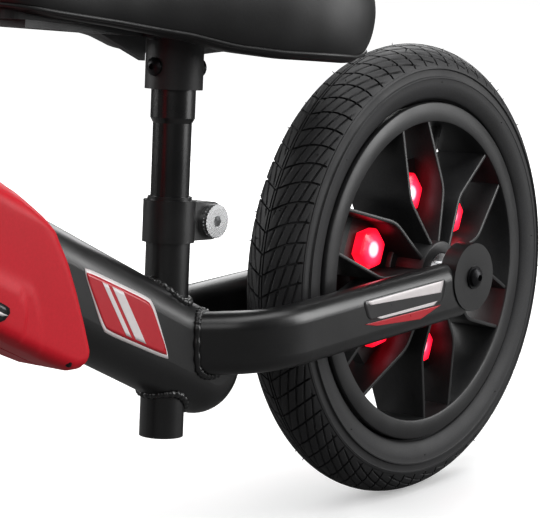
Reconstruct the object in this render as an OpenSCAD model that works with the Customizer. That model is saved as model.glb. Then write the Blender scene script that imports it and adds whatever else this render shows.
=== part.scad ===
// Child's balance bike: steel tube frame, moulded wheels with lights in the spokes, pneumatic tyres.
// +X is forwards, +Y is the rider's left, +Z is up. The origin is on the ground, midway between
// the two wheels. Sizes are in millimetres and angles in degrees.

/* [Wheels] */
// Distance between the two axles
wheelbase = 590; // [480:5:710]
// Outside diameter of each tyre
tyre_d = 296; // [246:2:356]
// Width of each tyre
tyre_w = 45; // [37:1:54]
// Thickness of the tyre's sidewall
tyre_wall = 3.2; // [2.5:0.1:4]
// Width of the rim from face to face
rim_w = 41; // [34:1:49]
// How far the rim's edge stands up the side of the tyre
rim_grip = 8; // [6:0.5:10]
// Radial depth of the rim's side face
rim_face = 13; // [11:0.5:16]
// Number of hollow spokes in each wheel
spoke_count = 6; // [5:1:7]
// Angle of the first spoke above the forward direction
spoke_phase = 22; // [0:1:59]
// Distance from the axle to the widest point of a spoke
spoke_elbow_r = 52; // [46:1:56]
// Half width of a spoke at its widest point
spoke_elbow_w = 20; // [16.5:0.5:24]
// Half width of a spoke where it meets the rim
spoke_rim_w = 15; // [12:0.5:18]
// Thickness of a spoke's vane
vane_t = 2.6; // [2:0.1:3.2]
// Thickness of the web between a spoke's two vanes
web_t = 8; // [6:0.5:10]
// Corner radius of the hexagonal lamp lens
lens_r = 14; // [11.5:0.5:15]
// How far a lens stands out of the web on each side
lens_rise = 7; // [4:0.5:9]
// Outside diameter of the hub barrel
hub_d = 42; // [38:1:50]
// Width of the hub from face to face
hub_w = 60; // [52:1:68]

/* [Axles] */
// Axle diameter
axle_d = 10; // [8:0.5:12]
// Outside diameter of a wheel bearing
bearing_d = 26; // [24:1:32]
// Width of a wheel bearing
bearing_w = 8; // [6:0.5:10]
// Diameter of an axle bolt's thread
bolt_d = 6; // [5:0.5:7]
// Diameter of an axle bolt's head
bolt_head_d = 12; // [10:0.5:14]

/* [Frame] */
// How far the seat tube stands ahead of the rear axle
seat_ahead = 234; // [200:2:280]
// How far the frame's joint lies below the axles
joint_drop = 15.3; // [10:0.1:20]
// Backward lean of the seat tube
seat_lean = 3.8; // [0:0.1:12]
// Height of the main tube's section
main_h = 60; // [50:1:72]
// Width of the main tube's section
main_w = 38; // [32:1:46]
// Wall of the main tube and the chainstays
wall = 1.6; // [1.2:0.1:2.4]
// Centre-line radius of the main tube's bend
main_bend_r = 110; // [90:2:130]
// Angle of the main tube's lower run below the straight line to the head tube
main_dip = 13; // [8:0.5:16]
// Angle of the main tube's upper run above that line
main_kick = 18; // [15:0.5:22]
// How far the main tube runs on behind the seat tube
tail_run = 60; // [50:1:72]
// Height of a chainstay's section
stay_h = 37; // [31:1:44]
// Width of a chainstay's section
stay_w = 20; // [17:0.5:24]
// Distance from the middle of the bike to a chainstay's centre line
stay_y = 45; // [42:0.5:54]
// Centre-line radius of a chainstay's bend
stay_bend_r = 55; // [45:1:66]
// Angle between a chainstay's two runs
stay_bend = 50; // [40:1:60]
// Diameter of the round end that holds the axle
boss_d = 44; // [36:1:50]
// Thickness of that round end
boss_t = 12; // [10:0.5:14]
// How far that round end stands out from the chainstay's side
boss_proud = 1; // [0.6:0.1:2]

/* [Seat] */
// Outside diameter of the seat tube
seat_tube_d = 25.4; // [24:0.1:30]
// Diameter of the seat post
post_d = 22.2; // [20:0.1:22.6]
// Height of the seat tube above the frame's joint
seat_tube_up = 86; // [72:1:102]
// Depth of the seat tube below the frame's joint
seat_tube_down = 52; // [44:1:62]
// Height of the saddle's clamp above the frame's joint
saddle_up = 146.5; // [140:0.5:175]
// Length of seat post below the saddle's clamp
post_len = 182; // [165:1:210]
// Height of the clamp collar
collar_h = 24; // [20:1:28]
// Wall of the clamp collar
collar_wall = 2.3; // [1.8:0.1:3.5]
// How far the saddle's nose tilts up
saddle_tilt = 5; // [0:0.5:8]
// Length of the saddle
saddle_len = 290; // [245:1:345]
// Width of the saddle at the back
saddle_w = 150; // [125:1:180]
// Height of the saddle's padding
saddle_h = 60; // [50:1:72]

/* [Steering] */
// Backward lean of the steering axis
steer_lean = 20; // [17:0.5:24]
// How far the front axle lies ahead of the steering axis
fork_rake = 25; // [21:0.5:30]
// Gap between the tyre and the fork crown
tyre_gap = 14; // [10:1:18]
// Diameter of a fork blade
blade_d = 22; // [19:0.5:26]
// Diameter of the steerer tube
steerer_d = 25.4; // [25:0.1:27]
// Outside diameter of the head tube
head_d = 41; // [39:0.5:49]
// Length of the head tube
head_len = 90; // [75:1:108]
// Length of stem between the headset and the handlebar
stem_rise = 78; // [65:1:95]
// Width of the handlebar
bar_w = 410; // [345:1:490]
// Diameter of the handlebar tube
bar_d = 22.2; // [20:0.1:25.4]
// How far the grips stand above the middle of the bar
bar_rise = 50; // [42:1:60]
// Length of a grip
grip_len = 88; // [74:1:105]

/* [Covers] */
// Distance along the main tube from the seat tube to the covers
cover_start = 78; // [66:1:92]
// Wall of a cover beside the main tube
cover_wall = 5; // [4:0.2:6]
// How far the covers hang below the main tube
cover_hang = 12; // [10:0.5:14]
// Clearance of the covers round the front tyre
cover_arch = 9; // [7:0.5:11]

/* [Hidden] */
$fn = 96;

fit = 0.05; // radial clearance of a running or sliding fit
gap = 0.4; // clearance between pieces that move past each other
over = 1; // how far a cutting shape runs past what it cuts
swell = 0.08; // how much fatter a tube is in a bend than in a straight run
lap = 0.5; // how far a straight run reaches into a bend

// Wheels
tyre_r = tyre_d / 2;
section_r = tyre_w / 2;
section_c = tyre_r - section_r;
rim_r = tyre_r - tyre_w + rim_grip;
rim_in = rim_r - rim_face;
bead_open = 8;
tube_wall = 1.4;
tube_gap = 0.6;
hub_r = hub_d / 2;
vane_start_w = 4;
vane_depth_hub = hub_w / 2 - 2;
vane_depth_rim = rim_w / 2 - 2;
lens_hole = lens_r * cos(30);
web_out = spoke_elbow_r + lens_hole + 8;
lens_wall = 1.8;
board_t = 1.6;
valve_r = 3.5;
valve_len = 24;
valve_angle = spoke_phase + 180 / spoke_count + 60;

// Axles
bore_r = axle_d / 2;
end_y = stay_y + stay_w / 2 + boss_proud; // outer face of the round ends
drop_y = end_y - boss_t; // inner face of the round ends
axle_z = tyre_r;
rear_x = -wheelbase / 2;
front_x = wheelbase / 2;
sleeve_r = bore_r + 2.5;
bearing_seat = hub_w / 2 - bearing_w;
thread_len = 16;
washer_t = 1;
washer_r = bolt_head_d / 2 + 1.5;
head_t = 4;

// Frame joint, where the seat tube, main tube and chainstays meet
joint_x = rear_x + seat_ahead;
joint_z = axle_z - joint_drop;
stay_end_drop = 7.5; // how far a chainstay's back end lies below the axle
stay_tilt = atan2(joint_drop - stay_end_drop, seat_ahead);

// Steering axis: its foot is the point beside the front axle
foot_x = front_x - fork_rake * cos(steer_lean);
foot_z = axle_z - fork_rake * sin(steer_lean);
crown_h = 22;
crown_t = 30;
crown_z = tyre_r + tyre_gap;
race_h = 3;
cup_h = 8;
head_z = crown_z + crown_h + race_h + cup_h;
head_top = head_z + head_len;
nut_h = 10;
steerer_top = head_top + cup_h + nut_h + 2;
steerer_bore = bar_d / 2 + fit;
stem_top = steerer_top + stem_rise;
cup_r = 16.5;
fork_y = drop_y + boss_t / 2;
crown_reach = fork_y + crown_t / 2; // from the steering axis to the crown's ends
fork_gap = 2; // clearance of the main tube round the turning fork

// Main tube: two straight runs with one bend, from the joint to the head tube
meet_z = head_z + 30;
meet_x = foot_x - meet_z * sin(steer_lean);
meet_h = foot_z + meet_z * cos(steer_lean);
chord = norm([meet_x - joint_x, meet_h - joint_z]);
chord_angle = atan2(meet_h - joint_z, meet_x - joint_x);
main_slope = chord_angle - main_dip;
turn = main_dip + main_kick;
low_run = chord * sin(main_kick) / sin(turn);
high_run = chord * sin(main_dip) / sin(turn);
bend_run = main_bend_r * tan(turn / 2);

// Covers, in main-tube coordinates
screw_u = [cover_start + 14, low_run - bend_run - 38];
badge_x = cover_start + 90;
badge_z = -31;
badge_t = 1;
cover_in = main_w / 2 + gap;
cover_out = cover_in + cover_wall;
cover_top = main_h / 2 + 5;
cover_low = main_h / 2 + cover_hang;
cover_stop = 40; // length of upper run left bare below the head tube

// Seat
clamp_z = seat_tube_up - 2 - collar_h;
ear_x = seat_tube_d / 2 + 10.5;
ear_r = 11;
ear_y = 12;
slot_w = 3;
post_r = post_d / 2;
socket_r = 16.5;
socket_h = 29;
flare_r = post_r + 1.6;
flare_h = 16;
base_t = 9;
base_z = 3;

// ---- shared shapes ----

// A flat oval: a rectangle with a half circle at each end, h tall along Y and w wide along X
module oval(w, h) {
    square([w, h - w], center = true);
    for (s = [-1, 1]) translate([0, s * (h - w) / 2]) circle(d = w);
}

// Lays a shape made about the Z axis across the bike, at an axle
module at_axle(x) {
    translate([x, 0, axle_z]) rotate([90, 0, 0]) children();
}

// Moves to the frame's joint, with Z along the seat tube
module at_seat() {
    translate([joint_x, 0, joint_z]) rotate([0, -seat_lean, 0]) children();
}

// Moves to the foot of the steering axis, with Z along the axis
module at_steer() {
    translate([foot_x, 0, foot_z]) rotate([0, -steer_lean, 0]) children();
}

// The room that the fork's crown and the headset sweep as they turn, grown all round by clear
module fork_room(clear) {
    at_steer() {
        cylinder(r = crown_reach + clear, h = crown_z + crown_h + clear);
        cylinder(r = head_d / 2 + clear, h = head_z);
    }
}

// Moves to the frame's joint, with X along the main tube's lower run and Z across it
module at_main() {
    translate([joint_x, 0, joint_z]) rotate([0, -main_slope, 0]) children();
}

// Turns a 2D shape drawn along the tube into a slab across the bike, from y0 to y1
module slab(y0, y1) {
    translate([0, y1, 0]) rotate([90, 0, 0]) linear_extrude(y1 - y0) children();
}

module ring(r_out, r_in, h) {
    difference() {
        cylinder(r = r_out, h = h);
        translate([0, 0, -over]) cylinder(r = r_in, h = h + 2 * over);
    }
}

// A bolt with a domed socket head: the shank runs down from z = 0 and the head stands above it
module socket_bolt(shank_r, shank_l, head_r, head_h, key_r) {
    translate([0, 0, -shank_l]) cylinder(r = shank_r, h = shank_l + over / 10);
    difference() {
        intersection() {
            cylinder(r = head_r, h = head_h);
            translate([0, 0, head_h - head_r * 1.5]) sphere(r = head_r * 1.5);
        }
        translate([0, 0, head_h * 0.4]) cylinder(r = key_r, h = head_h, $fn = 6);
    }
}

// ---- frame ----

// The main tube's outer shape, made smaller all round by inset
module main_shape(inset) {
    w = main_w - 2 * inset;
    h = main_h - 2 * inset;
    straight = low_run - bend_run;
    at_main() {
        // lower run
        translate([main_h / 2 - tail_run, 0, 0]) rotate([90, 0, 90])
            linear_extrude(straight + tail_run - main_h / 2 + lap) oval(w, h);
        // rounded tail behind the seat tube
        translate([main_h / 2 - tail_run, 0, 0]) rotate([90, 0, 0]) rotate([0, 0, 90])
            rotate_extrude(angle = 180) intersection() {
                rotate(90) oval(w, h);
                translate([0, -w]) square([h, 2 * w]);
            }
        // bend
        translate([straight, 0, main_bend_r]) rotate([90, 0, 0]) rotate([0, 0, -90])
            rotate_extrude(angle = turn) translate([main_bend_r, 0]) rotate(90) oval(w + swell, h + swell);
        // upper run
        translate([low_run, 0, 0]) rotate([0, -turn, 0]) translate([bend_run - lap, 0, 0]) rotate([90, 0, 90])
            linear_extrude(high_run - bend_run + lap + main_h) oval(w, h);
    }
}

module main_tube() {
    color("#2b2b2d") difference() {
        main_shape(0);
        difference() {
            main_shape(wall);
            fork_room(fork_gap + wall);
        }
        fork_room(fork_gap);
        at_seat() translate([0, 0, -2 * main_h]) cylinder(d = seat_tube_d, h = 4 * main_h);
        // ends at the head tube
        at_steer() translate([0, 0, head_z - main_h]) cylinder(d = head_d, h = head_len + 2 * main_h);
        at_steer() translate([0, -main_w, head_z - main_h]) cube([2 * main_h, 2 * main_w, head_len + 3 * main_h]);
    }
}

module seat_tube() {
    len = seat_tube_up + seat_tube_down;
    color("#2b2b2d") at_seat() translate([0, 0, -seat_tube_down]) difference() {
        ring(seat_tube_d / 2, post_r + fit, len);
        // clamping slot at the back
        translate([-seat_tube_d, -slot_w / 2, len - collar_h - 14])
            cube([seat_tube_d, slot_w, collar_h + 14 + over]);
    }
}

module head_tube() {
    color("#2b2b2d") at_steer() translate([0, 0, head_z]) ring(head_d / 2, cup_r, head_len);
}

// One chainstay's outer shape on the +Y side, made smaller all round by inset
module stay_shape(inset, start) {
    w = stay_w - 2 * inset;
    h = stay_h - 2 * inset;
    bend_x = seat_ahead - 4 - (stay_y - stay_bend_r * (1 - cos(stay_bend))) / tan(stay_bend)
        - stay_bend_r * sin(stay_bend);
    translate([rear_x, 0, axle_z - stay_end_drop]) rotate([0, stay_tilt, 0]) {
        translate([start, stay_y, 0]) rotate([90, 0, 90]) linear_extrude(bend_x - start + lap) oval(w, h);
        translate([bend_x, stay_y - stay_bend_r, 0]) rotate([0, 0, 90 - stay_bend])
            rotate_extrude(angle = stay_bend) translate([stay_bend_r, 0]) oval(w + swell, h + swell);
        translate([bend_x, stay_y - stay_bend_r, 0]) rotate([0, 0, -stay_bend])
            translate([-lap, stay_bend_r, 0]) rotate([90, 0, 90])
                linear_extrude(lap + (stay_y - stay_bend_r * (1 - cos(stay_bend))) / sin(stay_bend)) oval(w, h);
    }
}

module chainstay() {
    difference() {
        union() {
            stay_shape(0, 6);
            translate([rear_x, end_y, axle_z]) rotate([90, 0, 0]) cylinder(d = boss_d, h = boss_t);
        }
        stay_shape(wall, boss_d / 2 + 2);
        main_shape(0);
        translate([rear_x, end_y + over, axle_z]) rotate([90, 0, 0])
            cylinder(r = bolt_d / 2 + fit, h = stay_w + 2 * over);
        // clears the hub's spacer
        translate([rear_x, drop_y, axle_z]) rotate([90, 0, 0])
            cylinder(r = washer_r + 4, h = stay_w);
    }
}

module chainstay_left() {
    color("#2b2b2d") chainstay();
}

module chainstay_right() {
    color("#2b2b2d") mirror([0, 1, 0]) chainstay();
}

// ---- covers on the main tube ----

// Outline of a cover seen from the side, along the tube (X) and across it (Y)
module cover_outline() {
    r = 12;
    slant = 54;
    straight = low_run - bend_run;
    // back end and lower run
    hull() {
        translate([cover_start + r, -cover_low + r]) circle(r = r);
        translate([cover_start + slant + 2 * r, cover_top - 2 * r]) circle(r = 2 * r);
        translate([straight, -cover_low]) square([0.1, cover_low + cover_top]);
    }
    // round the bend
    translate([straight, main_bend_r]) intersection() {
        difference() {
            circle(r = main_bend_r + cover_low);
            circle(r = main_bend_r - cover_top);
        }
        rotate(-90) polygon([[0, 0], [4 * main_bend_r, -1], [4 * main_bend_r, 4 * main_bend_r * tan(turn)]]);
    }
    // upper run, with a rounded end
    translate([low_run, 0]) rotate(turn) translate([bend_run - lap, 0]) hull() {
        translate([0, -cover_low]) square([0.1, cover_low + cover_top]);
        translate([high_run - bend_run - cover_stop, cover_top - r]) circle(r = r);
        translate([high_run - bend_run - cover_stop - r, -cover_low + 2 * r]) circle(r = 2 * r);
    }
}

// One half, on the +Y side: a side wall with a lip over and under the tube
module cover_half() {
    difference() {
        at_main() slab(gap / 2, cover_out) cover_outline();
        main_shape(-gap);
        fork_room(fork_gap + 1.5);
        at_axle(front_x) cylinder(r = tyre_r + cover_arch, h = 4 * cover_out, center = true);
        cover_screw_places() cylinder(r = 2.5, h = 2 * cover_out, center = true);
        cover_screw_places() translate([0, 0, cover_out - 2.2]) cylinder(r = 4.2, h = 4);
        at_main() translate([badge_x, cover_out - badge_t, badge_z]) rotate([-90, 0, 0])
            linear_extrude(badge_t + over) badge_shape();
    }
}

module badge_shape() {
    polygon([[-22, 5], [18, 5], [22, -5.5], [-18, -5.5]]);
}

// Screws through the lips below the tube, with Z pointing to the left
module cover_screw_places() {
    at_main() for (u = screw_u) translate([u, 0, -main_h / 2 - cover_hang / 2]) rotate([-90, 0, 0]) children();
}

module cover_left() {
    color("#c01426") cover_half();
}

module cover_right() {
    color("#c01426") mirror([0, 1, 0]) cover_half();
}

module cover_screws() {
    color("#3a3a3c") for (s = [0, 1]) mirror([0, s, 0]) cover_screw_places()
        translate([0, 0, cover_out - 2.2]) socket_bolt(2.45, 18, 4, 1.8, 1.4);
}

module cover_badges() {
    color("#3a3a3c") for (s = [0, 1]) mirror([0, s, 0]) at_main()
        translate([badge_x, cover_out - badge_t, badge_z]) rotate([-90, 0, 0])
            linear_extrude(badge_t) badge_shape();
}

// ---- seat clamp ----

module clamp_collar() {
    r = seat_tube_d / 2;
    color("#2b2b2d") at_seat() translate([0, 0, clamp_z]) difference() {
        union() {
            cylinder(r = r + collar_wall, h = collar_h);
            translate([-ear_x, ear_y, collar_h / 2]) rotate([90, 0, 0]) cylinder(r = ear_r, h = 2 * ear_y);
            translate([-ear_x, -ear_y, collar_h / 2 - ear_r]) cube([ear_x, 2 * ear_y, 2 * ear_r]);
        }
        translate([0, 0, -over]) cylinder(r = r, h = collar_h + 2 * over);
        translate([-2 * ear_x, -slot_w / 2, -over]) cube([2 * ear_x, slot_w, collar_h + 2 * over]);
        translate([-ear_x, ear_y + over, collar_h / 2]) rotate([90, 0, 0])
            cylinder(r = 4 + fit, h = 2 * ear_y + 2 * over);
    }
}

module clamp_bolt() {
    color("#c9ccd0") at_seat() translate([-ear_x, ear_y, clamp_z + collar_h / 2]) rotate([-90, 0, 0]) {
        translate([0, 0, -2 * ear_y - 6]) cylinder(r = 4, h = 2 * ear_y + 6.1);
        difference() {
            cylinder(r = 9.75, h = 4.5);
            for (a = [0:12:348]) rotate(a) translate([9.9, 0, 2]) cylinder(r = 0.6, h = 4, $fn = 8);
            translate([0, 0, 1.5]) cylinder(r = 3.4, h = 4, $fn = 6);
        }
    }
}

module clamp_nut() {
    color("#c9ccd0") at_seat() translate([-ear_x, -ear_y, clamp_z + collar_h / 2]) rotate([90, 0, 0])
        difference() {
            cylinder(r = 7.5, h = 5, $fn = 6);
            translate([0, 0, -over]) cylinder(r = 4 + fit, h = 5 + 2 * over);
        }
}

// ---- saddle, on its post ----

module seat_post() {
    color("#2b2b2d") at_seat() difference() {
        union() {
            translate([0, 0, saddle_up - post_len]) cylinder(r = post_r, h = post_len + socket_h - 2);
            translate([0, 0, saddle_up - flare_h]) cylinder(r = flare_r, h = flare_h);
            translate([0, 0, saddle_up - flare_h - 3]) cylinder(r1 = post_r, r2 = flare_r, h = 3);
        }
        translate([0, 0, saddle_up - post_len - over]) cylinder(r = post_r - 2, h = post_len + socket_h);
        saddle_bolt_place() cylinder(r = 3 + fit, h = 3 * socket_r, center = true);
    }
}

// The saddle's through bolt, in seat-tube coordinates, with Z pointing forwards
module saddle_bolt_place() {
    translate([0, 0, saddle_up + socket_h / 2 - 2]) rotate([0, 90, 0]) children();
}

// Moves to the top of the socket, with X along the saddle
module at_saddle() {
    up = saddle_up + socket_h;
    translate([joint_x - up * sin(seat_lean), 0, joint_z + up * cos(seat_lean)])
        rotate([0, -saddle_tilt, 0]) children();
}

module saddle_socket() {
    color("#1d1d1f") difference() {
        union() {
            at_seat() translate([0, 0, saddle_up]) cylinder(r = socket_r, h = socket_h + 4);
            // stiffening ribs, the front one standing clear of the through bolt's head
            at_saddle() slab(-2.5, 2.5) polygon([[27, base_z], [27, -14], [74, base_z]]);
            at_saddle() slab(-2.5, 2.5) polygon([[-10, base_z], [-10, -6], [-40, base_z]]);
            at_saddle() translate([-34, -22, base_z - 4]) cube([76, 44, 4]);
            at_saddle() translate([40, -14, base_z - 4]) cube([90, 28, 4]);
        }
        at_seat() translate([0, 0, saddle_up - over]) cylinder(r = post_r + fit, h = socket_h + 4);
        at_seat() saddle_bolt_place() cylinder(r = 3 + fit, h = 4 * socket_r, center = true);
        at_saddle() translate([-200, -100, base_z]) cube([400, 200, 20]);
        saddle_screw_places() cylinder(r = 2 + fit, h = 12, center = true);
    }
}

module saddle_bolt() {
    color("#1d1d1f") at_seat() saddle_bolt_place() {
        translate([0, 0, socket_r]) socket_bolt(3, 2 * socket_r + 7, 5.2, 3, 2);
        translate([0, 0, -socket_r - 5]) ring(5.4, 3 + fit, 5, $fn = 48);
    }
}

module saddle_screw_places() {
    at_saddle() for (x = [-28, 36], y = [-16, 16]) translate([x, y, base_z - 4]) children();
}

module saddle_screws() {
    color("#3a3a3c") saddle_screw_places() mirror([0, 0, 1]) socket_bolt(2, 9, 3.8, 1.8, 1.3);
}

// Outline of the saddle's base from above
module base_outline(grow) {
    hull() {
        translate([-saddle_len * 0.25, 0]) scale([0.8, 1]) circle(r = saddle_w / 2 - 22 + grow, $fn = 48);
        translate([saddle_len * 0.45, 0]) circle(r = 12 + grow, $fn = 32);
    }
}

module saddle_base() {
    color("#1d1d1f") difference() {
        at_saddle() translate([0, 0, base_z]) linear_extrude(base_t) base_outline(0);
        saddle_screw_places() cylinder(r = 2 + fit, h = 20, center = true);
    }
}

// An ellipsoid with its three half lengths
module blob(x, z, a, b, c) {
    translate([x, 0, z]) scale([a, b, c]) sphere(r = 1, $fn = 40);
}

module saddle_pad() {
    color("#161617") difference() {
        at_saddle() {
            hull() {
                blob(-saddle_len * 0.25, saddle_h * 0.3, saddle_len * 0.19, saddle_w / 2, saddle_h / 2);
                blob(saddle_len * 0.06, saddle_h * 0.4, saddle_len * 0.16, saddle_w / 3, saddle_h * 0.36);
            }
            hull() {
                blob(saddle_len * 0.06, saddle_h * 0.4, saddle_len * 0.16, saddle_w / 3, saddle_h * 0.36);
                blob(saddle_len * 0.47, saddle_h * 0.45, saddle_len * 0.09, saddle_w * 0.17, saddle_h * 0.28);
            }
        }
        at_saddle() translate([0, 0, -saddle_h]) linear_extrude(saddle_h + base_z + base_t)
            base_outline(0.5);
    }
}

// ---- wheels, made about the Z axis ----

module tyre_shape() {
    rotate_extrude() difference() {
        translate([section_c, 0]) circle(r = section_r);
        translate([section_c, 0]) circle(r = section_r - tyre_wall);
        translate([section_c - section_r - over, -bead_open]) square([tyre_w / 2, 2 * bead_open]);
    }
}

module inner_tube_shape() {
    r = section_r - tyre_wall - tube_gap;
    rotate_extrude() translate([section_c, 0]) difference() {
        circle(r = r);
        circle(r = r - tube_wall);
    }
}

// Outline of one vane pair's outside, along the spoke (X)
function spoke_points(inset) = [
    [hub_r - 4, vane_start_w - inset], [spoke_elbow_r, spoke_elbow_w - inset], [rim_in + 3, spoke_rim_w - inset],
    [rim_in + 3, -spoke_rim_w + inset], [spoke_elbow_r, -spoke_elbow_w + inset], [hub_r - 4, -vane_start_w + inset]
];

// The two vanes of each spoke, their edges sloping from the hub's depth to the rim's
module vanes() {
    for (i = [0:spoke_count - 1]) rotate(spoke_phase + i * 360 / spoke_count) intersection() {
        linear_extrude(hub_w, center = true) difference() {
            polygon(spoke_points(0));
            polygon(spoke_points(vane_t));
        }
        slab(-2 * spoke_elbow_w, 2 * spoke_elbow_w) polygon([
            [0, vane_depth_hub], [hub_r, vane_depth_hub], [rim_in + 4, vane_depth_rim],
            [rim_in + 4, -vane_depth_rim], [hub_r, -vane_depth_hub], [0, -vane_depth_hub]
        ]);
    }
}

module webs() {
    linear_extrude(web_t, center = true) for (i = [0:spoke_count - 1]) rotate(spoke_phase + i * 360 / spoke_count)
        difference() {
            intersection() {
                polygon(spoke_points(vane_t / 2));
                square([2 * web_out, 4 * spoke_elbow_w], center = true);
            }
            translate([spoke_elbow_r, 0]) rotate(90) circle(r = lens_r, $fn = 6);
        }
}

module wheel_shape() {
    difference() {
        union() {
            rotate_extrude() difference() {
                translate([rim_in, -rim_w / 2]) square([rim_face, rim_w]);
                translate([section_c, 0]) circle(r = section_r);
            }
            vanes();
            webs();
            cylinder(r = hub_r, h = hub_w, center = true);
            cylinder(r = hub_r + 5, h = web_t + 6, center = true);
        }
        // hub bore, with a wider seat for the bearing at each end
        cylinder(r = bearing_d / 2 - 1.5, h = hub_w + 2 * over, center = true);
        for (s = [0, 1]) mirror([0, 0, s]) translate([0, 0, bearing_seat])
            cylinder(r = bearing_d / 2, h = bearing_w + over);
        rotate(valve_angle) rotate([0, 90, 0]) cylinder(r = valve_r + 0.3, h = rim_r);
    }
}

module bearings_shape() {
    for (s = [0, 1]) mirror([0, 0, s]) translate([0, 0, bearing_seat]) difference() {
        ring(bearing_d / 2, bore_r + fit, bearing_w);
        // groove between the inner and outer races
        translate([0, 0, bearing_w - 0.8]) ring(bearing_d / 2 - 2.5, bore_r + 2.5, 2);
    }
}

module lenses_shape() {
    h = web_t + 2 * lens_rise;
    for (i = [0:spoke_count - 1]) rotate(spoke_phase + i * 360 / spoke_count)
        translate([spoke_elbow_r, 0, 0]) rotate(90) difference() {
            cylinder(r = lens_r, h = h, center = true, $fn = 6);
            cylinder(r = lens_r - lens_wall, h = h - 2 * lens_wall, center = true, $fn = 6);
        }
}

module boards_shape() {
    for (i = [0:spoke_count - 1]) rotate(spoke_phase + i * 360 / spoke_count)
        translate([spoke_elbow_r, 0, 0]) {
            rotate(90) cylinder(r = lens_r - lens_wall - 0.3, h = board_t, center = true, $fn = 6);
            for (s = [0, 1]) mirror([0, 0, s]) translate([0, 0, board_t / 2]) {
                cylinder(r = 2.5, h = 2);
                translate([0, 0, 2]) sphere(r = 2.5);
            }
        }
}

module valve_shape() {
    rotate(valve_angle) rotate([0, 90, 0]) difference() {
        union() {
            translate([0, 0, rim_in - valve_len + 8]) cylinder(r = valve_r - 0.6, h = valve_len - 8 + 2);
            translate([0, 0, rim_in - 6]) cylinder(r = valve_r, h = 6);
            translate([0, 0, rim_in - valve_len + 4]) cylinder(r = valve_r, h = 12);
        }
        translate([section_c, 0, 0]) cylinder(r = 1, h = 1);
    }
}

module axle_shape() {
    difference() {
        cylinder(r = bore_r, h = 2 * drop_y, center = true);
        for (s = [0, 1]) mirror([0, 0, s]) translate([0, 0, drop_y - thread_len])
            cylinder(r = bolt_d / 2 + fit, h = thread_len + over);
    }
}

module axle_bolts_shape() {
    for (s = [0, 1]) mirror([0, 0, s]) translate([0, 0, end_y]) {
        cylinder(r = washer_r, h = washer_t);
        translate([0, 0, washer_t])
            socket_bolt(bolt_d / 2, boss_t + washer_t + thread_len - 2, bolt_head_d / 2, head_t, bolt_d * 0.4);
    }
}

// Distance sleeves: one between the bearings, and one from each bearing to the frame
module spacers_shape() {
    translate([0, 0, -bearing_seat]) ring(sleeve_r, bore_r + fit, 2 * bearing_seat);
    for (s = [0, 1]) mirror([0, 0, s]) translate([0, 0, hub_w / 2]) {
        ring(sleeve_r, bore_r + fit, drop_y - hub_w / 2);
        translate([0, 0, drop_y - hub_w / 2 - 4]) ring(sleeve_r + 2.5, sleeve_r, 4);
    }
}

module magnet_shape() {
    translate([0, 0, -6]) ring(bearing_d / 2 - 1.5 - gap, sleeve_r, 12);
}

module rear_axle() { color("#9a9da1") at_axle(rear_x) axle_shape(); }
module rear_axle_bolts() { color("#1a1a1b") at_axle(rear_x) axle_bolts_shape(); }
module rear_axle_spacers() { color("#9a9da1") at_axle(rear_x) spacers_shape(); }
module rear_magnet_ring() { color("#55575a") at_axle(rear_x) magnet_shape(); }
module rear_tyre() { color("#333335") at_axle(rear_x) tyre_shape(); }
module rear_inner_tube() { color("#222224") at_axle(rear_x) inner_tube_shape(); }
module rear_wheel() { color("#3c3c3e") at_axle(rear_x) wheel_shape(); }
module rear_bearings() { color("#9a9da1") at_axle(rear_x) bearings_shape(); }
module rear_lenses() { color("#e8132f") at_axle(rear_x) lenses_shape(); }
module rear_light_boards() { color("#f2f2ee") at_axle(rear_x) boards_shape(); }
module rear_valve() { color("#1a1a1b") at_axle(rear_x) valve_shape(); }

module front_axle() { color("#9a9da1") at_axle(front_x) axle_shape(); }
module front_axle_bolts() { color("#1a1a1b") at_axle(front_x) axle_bolts_shape(); }
module front_axle_spacers() { color("#9a9da1") at_axle(front_x) spacers_shape(); }
module front_magnet_ring() { color("#55575a") at_axle(front_x) magnet_shape(); }
module front_tyre() { color("#333335") at_axle(front_x) tyre_shape(); }
module front_inner_tube() { color("#222224") at_axle(front_x) inner_tube_shape(); }
module front_wheel() { color("#3c3c3e") at_axle(front_x) wheel_shape(); }
module front_bearings() { color("#9a9da1") at_axle(front_x) bearings_shape(); }
module front_lenses() { color("#e8132f") at_axle(front_x) lenses_shape(); }
module front_light_boards() { color("#f2f2ee") at_axle(front_x) boards_shape(); }
module front_valve() { color("#1a1a1b") at_axle(front_x) valve_shape(); }

// ---- fork and headset, made along the steering axis ----

module steerer() {
    color("#2b2b2d") at_steer() translate([0, 0, crown_z])
        ring(steerer_d / 2, steerer_bore, steerer_top - crown_z);
}

module fork_crown() {
    color("#2b2b2d") at_steer() translate([0, 0, crown_z]) difference() {
        linear_extrude(crown_h) oval(crown_t, 2 * fork_y + crown_t);
        translate([0, 0, -over]) cylinder(d = steerer_d, h = crown_h + 2 * over);
        // sockets for the blades
        for (s = [-1, 1]) blade_line(s) cylinder(d = blade_d, h = 2 * crown_z);
    }
}

// Runs from the front axle up to the crown, s being the side
blade_angle = atan2(fork_rake, crown_z);
module blade_line(s) {
    translate([fork_rake, s * fork_y, -crown_z]) rotate([0, -blade_angle, 0]) children();
}

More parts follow.
